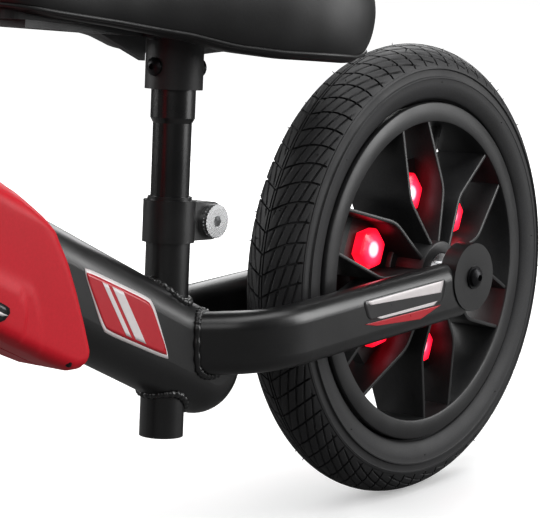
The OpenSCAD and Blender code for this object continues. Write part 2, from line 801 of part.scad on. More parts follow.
module fork_blade() {
    len = norm([fork_rake, crown_z]);
    at_steer() difference() {
        union() {
            translate([fork_rake, fork_y, 0]) rotate([0, -blade_angle, 0])
                cylinder(d = blade_d, h = len + crown_h - 2);
            translate([fork_rake, end_y, 0]) rotate([90, 0, 0]) cylinder(d = boss_d - 8, h = boss_t);
        }
        translate([fork_rake, fork_y, 0]) rotate([0, -blade_angle, 0]) translate([0, 0, boss_d / 2])
            cylinder(d = blade_d - 2 * wall, h = len);
        translate([fork_rake, end_y + blade_d, 0]) rotate([90, 0, 0])
            cylinder(r = bolt_d / 2 + fit, h = 3 * blade_d);
        // flat seats for the washer outside and the spacer inside
        translate([fork_rake, end_y + blade_d, 0]) rotate([90, 0, 0]) cylinder(r = washer_r + 1, h = blade_d);
        translate([fork_rake, drop_y, 0]) rotate([90, 0, 0]) cylinder(r = boss_d / 2, h = blade_d);
    }
}

module fork_blade_left() {
    color("#2b2b2d") fork_blade();
}

module fork_blade_right() {
    color("#2b2b2d") mirror([0, 1, 0]) fork_blade();
}

module crown_race() {
    color("#9a9da1") at_steer() translate([0, 0, crown_z + crown_h]) ring(head_d / 2 - 3, steerer_d / 2, race_h);
}

// A cup pressed into the end of the head tube, its flange outwards
module cup() {
    difference() {
        union() {
            cylinder(d = head_d, h = cup_h - gap);
            translate([0, 0, -6]) cylinder(r = cup_r, h = 7);
        }
        translate([0, 0, -7]) cylinder(r = steerer_d / 2 + fit, h = cup_h + 8);
        translate([0, 0, 2]) cylinder(r = cup_r - 0.6, h = cup_h);
    }
}

module headset_upper_cup() {
    color("#1a1a1b") at_steer() translate([0, 0, head_top]) cup();
}

module headset_lower_cup() {
    color("#1a1a1b") at_steer() translate([0, 0, head_z]) mirror([0, 0, 1]) cup();
}

// Rings of bearing balls in their cages
module headset_balls() {
    r = (steerer_d / 2 + cup_r - 0.6) / 2;
    color("#9a9da1") at_steer() for (z = [head_z - 4, head_top + 4]) translate([0, 0, z])
        rotate_extrude() translate([r, 0]) circle(r = cup_r / 2 - steerer_d / 4 - 0.5, $fn = 24);
}

module headset_locknut() {
    color("#1a1a1b") at_steer() translate([0, 0, head_top + cup_h]) difference() {
        union() {
            cylinder(d = head_d - 1, h = 4);
            translate([0, 0, 4]) cylinder(d = head_d + 1, h = nut_h - 4, $fn = 8);
        }
        translate([0, 0, -over]) cylinder(d = steerer_d, h = nut_h + 2 * over);
    }
}

// ---- handlebar ----

stem_r = 17;
stem_len = 40;
bar_z = stem_top;
bar_bend_r = 38;
bar_bend = 42;
quill_down = 70;

// Position of the bar: a little ahead of the steering axis
bar_x = 26;

module stem() {
    color("#1d1d1f") at_steer() difference() {
        union() {
            translate([0, 0, steerer_top - quill_down]) cylinder(d = bar_d, h = bar_z - steerer_top + quill_down);
            translate([0, 0, steerer_top + gap]) cylinder(r = 15, h = 10);
            translate([0, 0, bar_z - 18]) cylinder(r = 15, h = 34);
            // arm to the bar
            translate([0, -16, bar_z - 14]) cube([bar_x, 32, 28]);
            translate([bar_x, stem_len / 2, bar_z]) rotate([90, 0, 0]) cylinder(r = stem_r, h = stem_len);
        }
        // bar seat, open to the front for the cap
        translate([bar_x, stem_len, bar_z]) rotate([90, 0, 0]) cylinder(d = bar_d, h = 2 * stem_len);
        translate([bar_x + 1, -stem_len, bar_z - 2 * stem_r]) cube([4 * stem_r, 2 * stem_len, 4 * stem_r]);
        // drilling for the long bolt and the slanted foot of the quill
        translate([0, 0, steerer_top - quill_down - over]) cylinder(r = 4.2, h = bar_z + quill_down);
        translate([0, 0, bar_z + 8]) cylinder(r = 7.2, h = 20);
        translate([0, 0, steerer_top - quill_down]) rotate([0, 30, 0]) translate([-bar_d, -bar_d, -2 * bar_d])
            cube([2 * bar_d, 2 * bar_d, 2 * bar_d]);
        stem_cap_places() translate([0, 0, -16]) cylinder(r = 2.5 + fit, h = 20);
    }
}

module stem_wedge() {
    color("#9a9da1") at_steer() difference() {
        translate([0, 0, steerer_top - quill_down - 22]) cylinder(d = bar_d - 0.2, h = 38);
        translate([0, 0, steerer_top - quill_down - 0.3]) rotate([0, 30, 0]) translate([-2 * bar_d, -bar_d, 0])
            cube([4 * bar_d, 2 * bar_d, 3 * bar_d]);
        translate([0, 0, steerer_top - quill_down - 30]) cylinder(r = 4 + fit, h = 60);
    }
}

module stem_bolt() {
    l = bar_z + 8 - steerer_top + quill_down + 20;
    color("#1a1a1b") at_steer() translate([0, 0, bar_z + 8]) socket_bolt(4, l, 7, 6, 3);
}

module stem_cap_places() {
    for (y = [-14, 14], z = [-13.8, 13.8]) translate([bar_x + 1, y, bar_z + z]) rotate([0, 90, 0]) children();
}

module stem_cap() {
    color("#1d1d1f") at_steer() difference() {
        translate([bar_x, stem_len / 2, bar_z]) rotate([90, 0, 0]) cylinder(r = stem_r, h = stem_len);
        translate([bar_x, stem_len, bar_z]) rotate([90, 0, 0]) cylinder(d = bar_d, h = 2 * stem_len);
        translate([bar_x - 4 * stem_r + 2, -stem_len, bar_z - 2 * stem_r])
            cube([4 * stem_r, 2 * stem_len, 4 * stem_r]);
        stem_cap_places() cylinder(r = 2.5 + fit, h = 30);
        stem_cap_places() translate([0, 0, 6]) cylinder(r = 4.4, h = 30);
    }
}

module stem_cap_bolts() {
    color("#1a1a1b") at_steer() stem_cap_places() translate([0, 0, 6]) socket_bolt(2.5, 18, 4, 3, 1.6);
}

// Half of the bar's centre line: middle run, bend, slope, bend, grip run
mid_run = stem_len / 2 + 8;
slope_run = (bar_rise - 2 * bar_bend_r * (1 - cos(bar_bend))) / sin(bar_bend);
grip_start = mid_run + 2 * bar_bend_r * sin(bar_bend) + slope_run * cos(bar_bend);

module bar_half(d) {
    translate([0, mid_run, bar_bend_r]) rotate([90, 0, 90]) rotate([0, 0, -90])
        rotate_extrude(angle = bar_bend) translate([bar_bend_r, 0]) circle(d = d + swell);
    translate([0, mid_run + bar_bend_r * sin(bar_bend), bar_bend_r * (1 - cos(bar_bend))])
        rotate([bar_bend, 0, 0]) rotate([-90, 0, 0]) translate([0, 0, -lap]) cylinder(d = d, h = slope_run + 2 * lap);
    translate([0, grip_start, bar_rise - bar_bend_r]) rotate([90, 0, 90]) rotate([0, 0, 90])
        rotate_extrude(angle = bar_bend) translate([bar_bend_r, 0]) circle(d = d + swell);
    translate([0, grip_start - lap, bar_rise]) rotate([-90, 0, 0]) cylinder(d = d, h = bar_w / 2 - grip_start + lap);
}

module at_bar() {
    at_steer() translate([bar_x, 0, bar_z]) children();
}

module handlebar() {
    color("#2b2b2d") at_bar() difference() {
        union() {
            translate([0, -mid_run - lap, 0]) rotate([-90, 0, 0]) cylinder(d = bar_d, h = 2 * (mid_run + lap));
            for (s = [0, 1]) mirror([0, s, 0]) bar_half(bar_d);
        }
        for (s = [0, 1]) mirror([0, s, 0]) translate([0, grip_start + 5, bar_rise]) rotate([-90, 0, 0])
            cylinder(d = bar_d - 2 * wall, h = bar_w);
    }
}

module grip() {
    at_bar() translate([0, bar_w / 2 + 3, bar_rise]) rotate([90, 0, 0]) difference() {
        union() {
            cylinder(d = bar_d + 8, h = grip_len);
            // end knob and inner flange
            intersection() {
                cylinder(d = bar_d + 18, h = 12);
                translate([0, 0, 22]) sphere(r = 25);
            }
            translate([0, 0, grip_len - 5]) cylinder(d = bar_d + 20, h = 5);
            for (z = [18:8:grip_len - 14]) translate([0, 0, z]) cylinder(d = bar_d + 10, h = 3);
        }
        translate([0, 0, 3]) cylinder(d = bar_d, h = grip_len);
    }
}

module grip_left() {
    color("#1f1f20") grip();
}

module grip_right() {
    color("#1f1f20") mirror([0, 1, 0]) grip();
}

main_tube();
seat_tube();
head_tube();
chainstay_left();
chainstay_right();
cover_left();
cover_right();
cover_screws();
cover_badges();
clamp_collar();
clamp_bolt();
clamp_nut();
headset_upper_cup();
headset_lower_cup();
headset_balls();
rear_axle();
rear_axle_bolts();
rear_axle_spacers();
rear_magnet_ring();
rear_tyre();
rear_inner_tube();
rear_wheel();
rear_bearings();
rear_lenses();
rear_light_boards();
rear_valve();
seat_post();
saddle_socket();
saddle_bolt();
saddle_base();
saddle_screws();
saddle_pad();
steerer();
fork_crown();
fork_blade_left();
fork_blade_right();
crown_race();
headset_locknut();
front_axle();
front_axle_bolts();
front_axle_spacers();
front_magnet_ring();
front_tyre();
front_inner_tube();
front_wheel();
front_bearings();
front_lenses();
front_light_boards();
front_valve();
stem();
stem_wedge();
stem_bolt();
stem_cap();
stem_cap_bolts();
handlebar();
grip_left();
grip_right();
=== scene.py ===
import math
import random

import bpy
import numpy as np
from mathutils import Matrix, Vector


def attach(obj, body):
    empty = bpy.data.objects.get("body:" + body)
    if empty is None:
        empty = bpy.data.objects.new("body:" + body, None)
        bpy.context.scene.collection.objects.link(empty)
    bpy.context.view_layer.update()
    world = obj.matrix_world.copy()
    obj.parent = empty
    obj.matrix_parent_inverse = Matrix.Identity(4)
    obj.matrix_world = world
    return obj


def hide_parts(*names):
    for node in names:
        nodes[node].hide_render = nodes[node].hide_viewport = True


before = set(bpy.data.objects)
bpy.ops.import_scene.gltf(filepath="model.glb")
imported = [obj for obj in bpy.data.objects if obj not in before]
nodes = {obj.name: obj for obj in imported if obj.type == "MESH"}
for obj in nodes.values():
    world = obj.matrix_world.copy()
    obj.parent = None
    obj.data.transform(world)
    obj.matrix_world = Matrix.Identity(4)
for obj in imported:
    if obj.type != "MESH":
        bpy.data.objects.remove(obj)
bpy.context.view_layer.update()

mm = 0.001
print("frame loaded:", len(nodes), "CAD nodes")


# The camera is made first, then the lights and the floor.

viewpoint = {"place": (0.76884, 0.76057, 0.36097), "yaw": 0.688, "pitch": 0.1571, "lens": 133.33}

cameraData = bpy.data.cameras.new("camera")
cameraData.lens = viewpoint["lens"]
cameraData.clip_end = 50
camera = bpy.data.objects.new("camera", cameraData)
bpy.context.collection.objects.link(camera)
camera.location = viewpoint["place"]
lookAlong = Vector((-math.cos(viewpoint["pitch"]) * math.cos(viewpoint["yaw"]),
                    -math.cos(viewpoint["pitch"]) * math.sin(viewpoint["yaw"]),
                    -math.sin(viewpoint["pitch"])))
camera.rotation_euler = lookAlong.to_track_quat("-Z", "Y").to_euler()
bpy.context.scene.camera = camera
bpy.context.scene.view_settings.view_transform = "Standard"


def hexColor(code):
    channels = [int(code[i:i + 2], 16) / 255 for i in (1, 3, 5)]
    linear = [c / 12.92 if c <= 0.04045 else ((c + 0.055) / 1.055) ** 2.4 for c in channels]
    return tuple(linear) + (1.0,)


def newMaterial(name):
    material = bpy.data.materials.new(name)
    material.use_nodes = True
    return material, material.node_tree.nodes["Principled BSDF"]


def addNode(material, kind, values=None, links=None, **settings):
    node = material.node_tree.nodes.new(kind)
    for key, value in settings.items():
        setattr(node, key, value)
    for socket, value in (values or {}).items():
        node.inputs[socket].default_value = value
    for socket, source in (links or {}).items():
        material.node_tree.links.new(source, node.inputs[socket])
    return node


# Each softbox: where it stands, where it aims, its size in metres, its power in watts
softboxes = {
    "overhead": {"place": (0.0, 0.3, 2.4), "aim": (0, 0, 0.2), "size": (2.6, 2.2), "power": 52},
    "leftSide": {"place": (-1.7, 1.7, 0.9), "aim": (-0.1, 0, 0.2), "size": (1.3, 1.6), "power": 40},
    "rightRim": {"place": (0.9, -2.0, 1.2), "aim": (0, 0, 0.2), "size": (1.0, 1.6), "power": 26},
    "behind": {"place": (-2.0, -0.9, 1.3), "aim": (-0.2, 0, 0.2), "size": (1.2, 1.4), "power": 22},
    "nearCamera": {"place": (1.6, 1.1, 1.2), "aim": (0, 0, 0.2), "size": (1.2, 1.0), "power": 7},
}
for name, box in softboxes.items():
    light = bpy.data.lights.new(name, "AREA")
    light.shape = "RECTANGLE"
    light.size, light.size_y = box["size"]
    light.energy = box["power"]
    lamp = bpy.data.objects.new(name, light)
    bpy.context.collection.objects.link(lamp)
    lamp.location = box["place"]
    lamp.rotation_euler = (Vector(box["aim"]) - Vector(box["place"])).to_track_quat("-Z", "Y").to_euler()

# The studio reads white behind the object, and lights it only dimly
world = bpy.data.worlds.new("studio")
world.use_nodes = True
bpy.context.scene.world = world
background = world.node_tree.nodes["Background"]
seen = addNode(world, "ShaderNodeLightPath")
strength = addNode(world, "ShaderNodeMapRange", {"To Min": 0.10, "To Max": 1.0},
                   {"Value": seen.outputs["Is Camera Ray"]})
background.inputs["Color"].default_value = (1, 1, 1, 1)
world.node_tree.links.new(strength.outputs["Result"], background.inputs["Strength"])

floorMesh = bpy.data.meshes.new("studioFloor")
reach = 9.0
floorMesh.from_pydata([(-reach, -reach, 0), (reach, -reach, 0), (reach, reach, 0), (-reach, reach, 0)], [],
                      [(0, 1, 2, 3)])
studioFloor = bpy.data.objects.new("studioFloor", floorMesh)
bpy.context.collection.objects.link(studioFloor)
paper, paperShader = newMaterial("white paper sweep")  # matt; it shows the soft contact shadow and a painted shade round the bike
paperShader.inputs["Roughness"].default_value = 0.9
paperShader.inputs["Specular IOR Level"].default_value = 0.1
paperShader.inputs["Emission Color"].default_value = (1, 1, 1, 1)
paperSeen = addNode(paper, "ShaderNodeLightPath")
paperTone = addNode(paper, "ShaderNodeMapRange", {"To Min": 0.16, "To Max": 0.85},
                    {"Value": paperSeen.outputs["Is Camera Ray"]})
paper.node_tree.links.new(paperTone.outputs["Result"], paperShader.inputs["Base Color"])
paperPlace = addNode(paper, "ShaderNodeTexCoord")
paperAway = addNode(paper, "ShaderNodeVectorMath", links={0: paperPlace.outputs["Object"]},
                    operation="LENGTH")
# painted shade: near the bike the camera-only glow is low, greying the floor round it so the shadow shows; from
# 1.5 m out the floor is white
paperShadeNearBike = addNode(paper, "ShaderNodeMapRange",
                     {"From Min": 0.45, "From Max": 1.5, "To Min": 0.30, "To Max": 1.0},
                     {"Value": paperAway.outputs["Value"]})
paperGlow = addNode(paper, "ShaderNodeMath", links={0: paperSeen.outputs["Is Camera Ray"],
                                                    1: paperShadeNearBike.outputs["Result"]}, operation="MULTIPLY")
paper.node_tree.links.new(paperGlow.outputs[0], paperShader.inputs["Emission Strength"])
floorMesh.materials.append(paper)
print("camera, lights and floor ready")


# Finishes, one for each material slot of the record.

# Tones are two close colours that the grain mixes. Grain and bump are in millimetres; grain finer than
# about half a millimetre is drawn that coarse so that it shows.
finishes = {
    # deep black with soft, slightly orange-peeled highlights
    "frame_paint": {"name": "satin powder-coated steel", "tones": ("#0b0b0c", "#121213"), "grain": 0.9,
                    "bump": 0.03, "roughness": (0.30, 0.40), "coat": 0.25},
    # the same powder coat as the frame
    "fork_paint": {"name": "satin powder-coated fork steel", "tones": ("#0b0b0c", "#131314"), "grain": 0.9,
                   "bump": 0.03, "roughness": (0.30, 0.40), "coat": 0.25},
    # smoother and glossier than the frame, so its highlights are tighter
    "post_paint": {"name": "gloss powder-coated seat post", "tones": ("#0a0a0b", "#111112"), "grain": 1.1,
                   "bump": 0.02, "roughness": (0.22, 0.32), "coat": 0.3},
    # even strong red with a broad, low sheen
    "cover_plastic": {"name": "satin moulded polypropylene", "tones": ("#cc0a20", "#d60f26"), "grain": 0.8,
                      "bump": 0.02, "roughness": (0.40, 0.50), "specular": 0.28},
    # near black with a crisp reflection
    "badge_plastic": {"name": "hard-coated ABS badge", "tones": ("#101011", "#191a1b"), "grain": 0.7,
                      "bump": 0.01, "roughness": (0.25, 0.33)},
    # dark metal, dull at the edges
    "black_steel": {"name": "black-oxide steel", "tones": ("#1a1a1c", "#2a2a2c"), "grain": 0.6, "bump": 0.02,
                    "roughness": (0.32, 0.46), "metallic": 0.75},
    # pale bright metal with sharp highlights
    "bright_steel": {"name": "zinc-plated steel", "tones": ("#cfd0d1", "#dededf"), "grain": 0.5, "bump": 0.004,
                     "roughness": (0.22, 0.34), "metallic": 1.0},
    # charcoal, almost without gloss, fine talc-like mottling
    "tyre_rubber": {"name": "vulcanised tyre rubber", "tones": ("#161617", "#272729"), "grain": 0.5,
                    "bump": 0.05, "roughness": (0.50, 0.66)},
    # flat black and powdery
    "tube_rubber": {"name": "butyl rubber", "tones": ("#141414", "#1d1d1d"), "grain": 0.7, "bump": 0.03,
                    "roughness": (0.6, 0.72)},
    # dark grey with fibre-fine speckle and a satin face
    "rim_plastic": {"name": "moulded glass-filled nylon", "tones": ("#19191a", "#262627"), "grain": 0.6,
                    "bump": 0.03, "roughness": (0.34, 0.46)},
    # clear deep red, wet-looking
    "lens_plastic": {"name": "red polycarbonate lens", "tones": ("#d80a20", "#ee1430"), "grain": 1.5,
                     "bump": 0.01, "roughness": (0.16, 0.24)},
    # clean white lacquer
    "board_plastic": {"name": "white solder-masked circuit board", "tones": ("#e6e6e0", "#f2f2ee"),
                      "grain": 0.8, "bump": 0.01, "roughness": (0.4, 0.5)},
    # grey mirror-like plating
    "magnet": {"name": "nickel-plated magnet", "tones": ("#8c8d90", "#a9aaad"), "grain": 0.8, "bump": 0.01,
               "roughness": (0.25, 0.35), "metallic": 1.0},
    # dull black with moulded grain
    "saddle_plastic": {"name": "moulded polypropylene shell", "tones": ("#161617", "#1e1e1f"), "grain": 0.9,
                       "bump": 0.05, "roughness": (0.42, 0.55)},
    # smooth stretched black skin with a soft sheen
    "saddle_vinyl": {"name": "smooth black vinyl", "tones": ("#070708", "#0d0d0e"), "grain": 0.9, "bump": 0.05,
                     "roughness": (0.40, 0.50)},
    # fine black metal with a dry sheen
    "stem_alloy": {"name": "black anodised aluminium", "tones": ("#141415", "#1d1d1f"), "grain": 0.5,
                   "bump": 0.01, "roughness": (0.32, 0.42), "metallic": 0.6},
    # soft matt black
    "grip_rubber": {"name": "soft thermoplastic grip rubber", "tones": ("#121213", "#1b1b1c"), "grain": 0.7,
                    "bump": 0.06, "roughness": (0.62, 0.75)},
}


patchSize = 30.3  # millimetres


def finishedMaterial(finish):
    material, shader = newMaterial(finish["name"])
    place = addNode(material, "ShaderNodeTexCoord").outputs["Object"]
    # broad mottling from handling and moulding, over the fine grain
    cloud = addNode(material, "ShaderNodeTexNoise", {"Scale": 1 / (patchSize * mm), "Detail": 3.0},
                    {"Vector": place})
    grain = addNode(material, "ShaderNodeTexNoise", {"Scale": 1 / (2 * finish["grain"] * mm), "Detail": 2.0},
                    {"Vector": place})
    blend = addNode(material, "ShaderNodeMath", {1: 0.5}, {0: cloud.outputs["Fac"]}, operation="MULTIPLY")
    share = addNode(material, "ShaderNodeMath", {1: 0.5, 2: 0.0},
                    {0: grain.outputs["Fac"], 2: blend.outputs[0]}, operation="MULTIPLY_ADD")
    ramp = addNode(material, "ShaderNodeValToRGB", links={"Fac": share.outputs[0]})
    ramp.color_ramp.elements[0].position = 0.35
    ramp.color_ramp.elements[1].position = 0.65
    ramp.color_ramp.elements[0].color = hexColor(finish["tones"][0])
    ramp.color_ramp.elements[1].color = hexColor(finish["tones"][1])
    gloss = addNode(material, "ShaderNodeMapRange",
                    {"From Min": 0.3, "From Max": 0.7, "To Min": finish["roughness"][0],
                     "To Max": finish["roughness"][1]}, {"Value": cloud.outputs["Fac"]})
    bump = addNode(material, "ShaderNodeBump", {"Strength": 0.6, "Distance": finish["bump"] * mm},
                   {"Height": grain.outputs["Fac"]})
    links = material.node_tree.links
    links.new(ramp.outputs["Color"], shader.inputs["Base Color"])
    links.new(gloss.outputs["Result"], shader.inputs["Roughness"])
    links.new(bump.outputs["Normal"], shader.inputs["Normal"])
    shader.inputs["Metallic"].default_value = finish.get("metallic", 0.0)
    shader.inputs["Specular IOR Level"].default_value = finish.get("specular", 0.5)
    shader.inputs["Coat Weight"].default_value = finish.get("coat", 0.0)
    shader.inputs["Coat Roughness"].default_value = 0.25
    return material


materials = {slotName: finishedMaterial(finish) for slotName, finish in finishes.items()}
for node in nodes.values():
    slotName = node.material_slots[0].material.name.split(".")[0]
    node.material_slots[0].material = materials[slotName]
print("finishes made:", len(materials))


# Making pieces from lists of points and faces.

def makePiece(name, points, faces, material, body, slotName, smooth=40, place=(0, 0, 0)):
    mesh = bpy.data.meshes.new(name)
    mesh.from_pydata([tuple(p) for p in points], [], [tuple(f) for f in faces])
    mesh.validate()
    mesh.materials.append(material)
    mesh.shade_smooth()
    if smooth:
        mesh.set_sharp_from_angle(angle=math.radians(smooth))
    piece = bpy.data.objects.new(name, mesh)
    bpy.context.collection.objects.link(piece)
    piece.location = place
    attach(piece, body)
    return piece


def gridFaces(rows, columns, closeRows=False, closeColumns=False):
    r = np.arange(rows if closeRows else rows - 1)
    c = np.arange(columns if closeColumns else columns - 1)
    a, b = np.meshgrid(r, c, indexing="ij")
    a2, b2 = (a + 1) % rows, (b + 1) % columns
    corners = [a * columns + b, a * columns + b2, a2 * columns + b2, a2 * columns + b]
    return np.stack(corners, -1).reshape(-1, 4)


def tubeAlong(path, radius, sides=10, closed=True, ripple=None):
    path = [Vector(p) for p in path]
    count = len(path)
    points = []
    up = None
    for i, p in enumerate(path):
        ahead = path[(i + 1) % count] if closed or i + 1 < count else p
        back = path[i - 1] if closed or i > 0 else p
        along = (ahead - back).normalized()
        if up is None:
            up = along.orthogonal().normalized()
        up = (up - along * up.dot(along)).normalized()
        side = along.cross(up)
        r = radius * (ripple(i) if ripple else 1)
        for k in range(sides):
            angle = 2 * math.pi * k / sides
            points.append(p + r * (math.cos(angle) * up + math.sin(angle) * side))
    faces = gridFaces(count, sides, closeRows=closed, closeColumns=True).tolist()
    if not closed:
        faces += [list(range(sides))[::-1], [(count - 1) * sides + k for k in range(sides)]]
    return points, faces


# Tyres, made about the axle in millimetres.

tyre = {"centreRadius": 125.5, "sectionRadius": 22.5, "innerRadius": 19.3, "pitches": 69, "treadEdge": 68.0,
        "sipeDepth": 1.8, "sipeSweep": 4.3, "diagonals": 46, "diagonalDepth": 1.1,
        "diagonalSlope": 1.7, "grooveDepth": 1.2, "pitchLength": 13.48, "beadAngle": 131, "rowStep": 1.15}


def tyreMesh():
    stops = np.array([0, 0.6, 0.8, 2.2, 4, 5.8, 7.6, 9.4, 11.2, 12.68, 12.88]) / tyre["pitchLength"]
    inSipe = np.array([1, 1, 0, 0, 0, 0, 0, 0, 0, 0, 1.0])
    columnAngle = np.concatenate([(k + stops) * 360 / tyre["pitches"] for k in range(tyre["pitches"])])
    sipe = np.tile(inSipe, tyre["pitches"])
    # rows over the tread, with pairs of rows at the edges of the two grooves by the centre
    tread = np.arange(5, tyre["treadEdge"], tyre["rowStep"])
    half = np.concatenate([[0, 1.2, 1.5, 3.6, 3.9], tread])
    # angle from the middle of the tread, and how far the surface stands off the section circle
    side = [(68.2, -0.1), (69, 0.35), (72.3, 0.35), (73, -0.7), (74, -0.9), (84.4, -0.9), (85, -0.7),
            (86, 0.3), (88, 0.3), (88.8, 0), (91, -0.15), (96, -0.1), (102, 0), (110, 0), (118, 0), (123, -0.1),
            (125, -0.5), (127, -1.3), (131, -1.5)]
    half = np.concatenate([half, [s[0] for s in side]])
    rise = np.zeros(len(half))
    rise[-len(side):] = [s[1] for s in side]
    onTread = (half < 68.1).astype(float)
    groove = ((half > 1.4) & (half < 3.7)).astype(float)
    sign = np.concatenate([-np.ones(len(half) - 1), np.ones(len(half))])
    row = np.concatenate([half[:0:-1], half])
    rise = np.concatenate([rise[:0:-1], rise])
    onTread = np.concatenate([onTread[:0:-1], onTread])
    groove = np.concatenate([groove[:0:-1], groove])
    phi = np.radians(row * sign)[:, None]
    sweep = tyre["sipeSweep"] * np.sin(np.radians(90 * np.minimum(row, 75) / 75))[:, None]
    theta = np.radians(columnAngle[None, :] + sweep)
    away = np.abs(row)[:, None]
    sipeHere = sipe[None, :] * onTread[:, None]
    sipeHere = sipeHere * np.clip((67 - away) / 3, 0, 1) * np.clip((away - 0.9) / 0.8, 0, 1)
    # shallow diagonals that cross the blocks
    slant = tyre["diagonalSlope"]
    lane = (away / slant - np.degrees(theta)) * tyre["diagonals"] / 360
    offLane = np.abs(lane - np.round(lane)) * 360 / tyre["diagonals"] * slant
    diagonal = np.clip(1.6 - offLane / 1.0, 0, 1) * onTread[:, None] * np.clip((away - 6) / 3, 0, 1) \
        * np.clip((64 - away) / 3, 0, 1)
    cut = np.maximum.reduce([sipeHere * tyre["sipeDepth"], diagonal * tyre["diagonalDepth"],
                             np.repeat(groove[:, None] * tyre["grooveDepth"], len(columnAngle), 1)])
    rho = tyre["sectionRadius"] + rise[:, None] - cut
    radius = tyre["centreRadius"] + rho * np.cos(phi)
    across = rho * np.sin(phi) + 0 * theta
    # inner wall of the casing, from one bead to the other
    inner = np.radians(np.linspace(tyre["beadAngle"], -tyre["beadAngle"], 15))[:, None]
    thetaInner = np.radians(columnAngle[None, :] + tyre["sipeSweep"]) + 0 * inner
    radiusInner = tyre["centreRadius"] + tyre["innerRadius"] * np.cos(inner) + 0 * thetaInner
    acrossInner = tyre["innerRadius"] * np.sin(inner) + 0 * thetaInner
    radius = np.vstack([radius, radiusInner]) * mm
    across = np.vstack([across, acrossInner]) * mm
    theta = np.vstack([theta, thetaInner])
    points = np.stack([radius * np.cos(theta), across, radius * np.sin(theta)], -1).reshape(-1, 3)
    faces = gridFaces(len(radius), len(columnAngle), closeRows=True, closeColumns=True)
    return points, faces


def tyreHairs():
    random.seed(7)
    points, faces = [], []
    places = [(phi, random.uniform(0, 360), random.uniform(1.4, 2.6)) for phi in (-46, -30, -17, 17, 30, 46)
              for _ in range(11)]
    places += [(side * random.uniform(94, 99), k * 45 + random.uniform(-5, 5), 0.9) for side in (-1, 1)
               for k in range(8)]
    for phi, theta, length in places:
        phi, theta = math.radians(phi), math.radians(theta)
        outward = Vector((math.cos(phi) * math.cos(theta), math.sin(phi), math.cos(phi) * math.sin(theta)))
        base = Vector((math.cos(theta), 0, math.sin(theta))) * tyre["centreRadius"] \
            + outward * (tyre["sectionRadius"] - 0.3)
        sideways = outward.orthogonal().normalized()
        other = outward.cross(sideways)
        lean = sideways * random.uniform(-0.5, 0.5) + other * random.uniform(-0.5, 0.5)
        first = len(points)
        for k in range(6):
            turn = math.pi * k / 3
            ringOut = math.cos(turn) * sideways + math.sin(turn) * other
            points += [(base + 0.42 * ringOut) * mm,
                       (base + (outward + lean * 0.6) * length + 0.16 * ringOut) * mm]
        for k in range(6):
            a, b = first + 2 * k, first + 2 * ((k + 1) % 6)
            faces.append((a, b, b + 1, a + 1))
        faces.append([first + 2 * k for k in range(6)][::-1])
        faces.append([first + 2 * k + 1 for k in range(6)])
    return points, faces


axles = {"rear": (-0.295, 0, 0.148), "front": (0.295, 0, 0.148)}
treadPoints, treadFaces = tyreMesh()
hairPoints, hairFaces = tyreHairs()
rubber = materials["tyre_rubber"]
for end, place in axles.items():
    casing = makePiece(end + "TyreTread", treadPoints, treadFaces, rubber, end + "_wheel", "tyre_rubber", 30,
                       place)
    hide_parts(end + "_tyre")
    makePiece(end + "TyreHairs", hairPoints, hairFaces, rubber, end + "_wheel", "tyre_rubber", 0, place)
print("tyres made:", len(treadFaces), "faces each")


# Wheel mouldings: rim, hub, two vanes and a web for each spoke.

wheel = {"rimOuter": 111.0, "rimInner": 98.0, "rimHalf": 20.5, "hubRadius": 21.0, "hubHalf": 30.0,
         "boreRadius": 13.0, "corner": 0.7,
         "spokes": 6, "phase": 22.0, "vane": [(17, 4), (52, 20), (101, 15)], "vaneThick": 2.6,
         "depthHub": 28.0, "depthRim": 18.5, "webHalf": 4.0, "webOut": 72.0, "lensRadius": 14.0,
         "lensAt": 52.0,
         "lensHalf": 11.0}


def lathe(profile, steps=144):
    angles = 2 * math.pi * np.arange(steps) / steps
    profile = np.array(profile, float) * mm
    points = [(r * math.cos(a), y, r * math.sin(a)) for r, y in profile for a in angles]
    return points, gridFaces(len(profile), steps, closeRows=True, closeColumns=True).tolist()


def vaneDepth(r):
    w = wheel
    share = min(max((r - w["hubRadius"]) / (w["rimInner"] + 4 - w["hubRadius"]), 0), 1)
    return w["depthHub"] + (w["depthRim"] - w["depthHub"]) * share


def roundedPath(corners, radius, step=4):
    out = [Vector(corners[0])]
    for before, corner, after in zip(corners, corners[1:], corners[2:]):
        before, corner, after = Vector(before), Vector(corner), Vector(after)
        start = corner + (before - corner).normalized() * radius
        end = corner + (after - corner).normalized() * radius
        for k in range(step + 1):
            t = k / step
            out.append((1 - t) ** 2 * start + 2 * t * (1 - t) * corner + t * t * end)
    out.append(Vector(corners[-1]))
    return out


